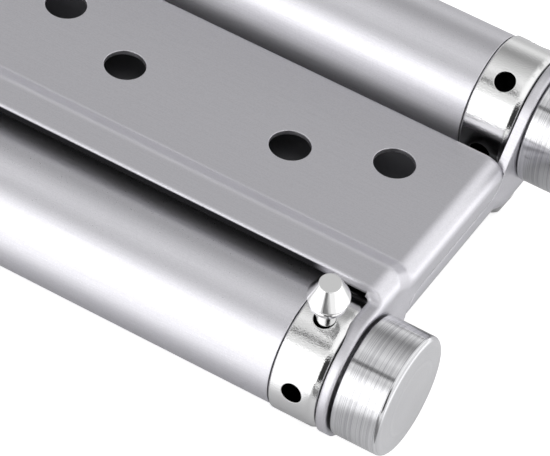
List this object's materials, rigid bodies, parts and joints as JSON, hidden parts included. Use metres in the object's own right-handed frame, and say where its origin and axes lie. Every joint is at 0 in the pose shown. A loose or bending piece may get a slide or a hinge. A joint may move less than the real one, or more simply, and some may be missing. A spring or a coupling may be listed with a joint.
{
  "type": "double action cafe hinge",
  "caption": "Steel spring hinge for a swing door that opens both ways: folded leaves with screw holes, sprung barrels on a shared sheet, tension collars with pins and turned end knobs.",
  "frame": {"origin": "middle of the closed hinge: midway between its two barrel axes and between its ends", "axes": "+X along the barrels towards the tension collars, +Y from the door leaf's barrel to the jamb leaf's barrel, +Z out of the door leaf's outer face"},
  "size_m": [0.1684, 0.079, 0.0322],
  "materials": {
    "satin_stainless": "satin stainless sheet, grain along the hinge",
    "bright_nickel": "bright nickel plate with a slight orange peel",
    "turned_steel": "plain turned steel",
    "spring_steel": "oil-tempered square spring wire",
    "polished_pin": "mirror-polished nickel plate",
    "turned_knob": "fine turned lines under nickel plate"
  },
  "bodies": {
    "jamb": {"jamb_leaf": "satin_stainless", "spindle_2": "turned_steel", "washer_front_2": "turned_steel", "washer_rear_2": "turned_steel", "end_knob_front_2": "turned_knob", "end_knob_rear_2": "turned_knob"},
    "web": {"web_barrels": "satin_stainless", "fixed_head_1": "bright_nickel", "fixed_head_2": "bright_nickel", "head_lock_pin_1": "turned_steel", "head_lock_pin_2": "turned_steel", "torsion_spring_1": "spring_steel", "torsion_spring_2": "spring_steel"},
    "door": {"door_leaf": "satin_stainless", "spindle_1": "turned_steel", "washer_front_1": "turned_steel", "washer_rear_1": "turned_steel", "end_knob_front_1": "turned_knob", "end_knob_rear_1": "turned_knob"},
    "collar_1": {"tension_collar_1": "bright_nickel"},
    "collar_2": {"tension_collar_2": "bright_nickel"},
    "pin_1": {"tension_pin_1": "polished_pin"},
    "pin_2": {"tension_pin_2": "polished_pin"}
  },
  "joints": [
    {"name": "web_swing", "type": "hinge", "parent": "jamb", "child": "web", "pos_m": [0, 0.0289, 0.0042], "axis": [-1, 0, 0], "range_deg": [0, 120], "stiffness_Nm_per_rad": 0.4, "springref_deg": -34.38, "deforming": ["torsion_spring_2"]},
    {"name": "door_swing", "type": "hinge", "parent": "web", "child": "door", "pos_m": [0, -0.0289, -0.0042], "axis": [1, 0, 0], "range_deg": [0, 120], "stiffness_Nm_per_rad": 0.4, "springref_deg": -34.38, "deforming": ["torsion_spring_1"]},
    {"name": "collar_1_turn", "type": "hinge", "parent": "door", "child": "collar_1", "pos_m": [0, -0.0289, -0.0042], "axis": [1, 0, 0], "range_deg": [-27, 72]},
    {"name": "pin_1_slide", "type": "slide", "parent": "collar_1", "child": "pin_1", "axis": [0.061, -0.1939, 0.9791], "range_m": [0, 0.004]},
    {"name": "collar_2_turn", "type": "hinge", "parent": "jamb", "child": "collar_2", "pos_m": [0, 0.0289, 0.0042], "axis": [1, 0, 0], "range_deg": [-7, 72]},
    {"name": "pin_2_slide", "type": "slide", "parent": "collar_2", "child": "pin_2", "axis": [0.061, -0.1527, -0.9864], "range_m": [0, 0.004]}
  ]
}
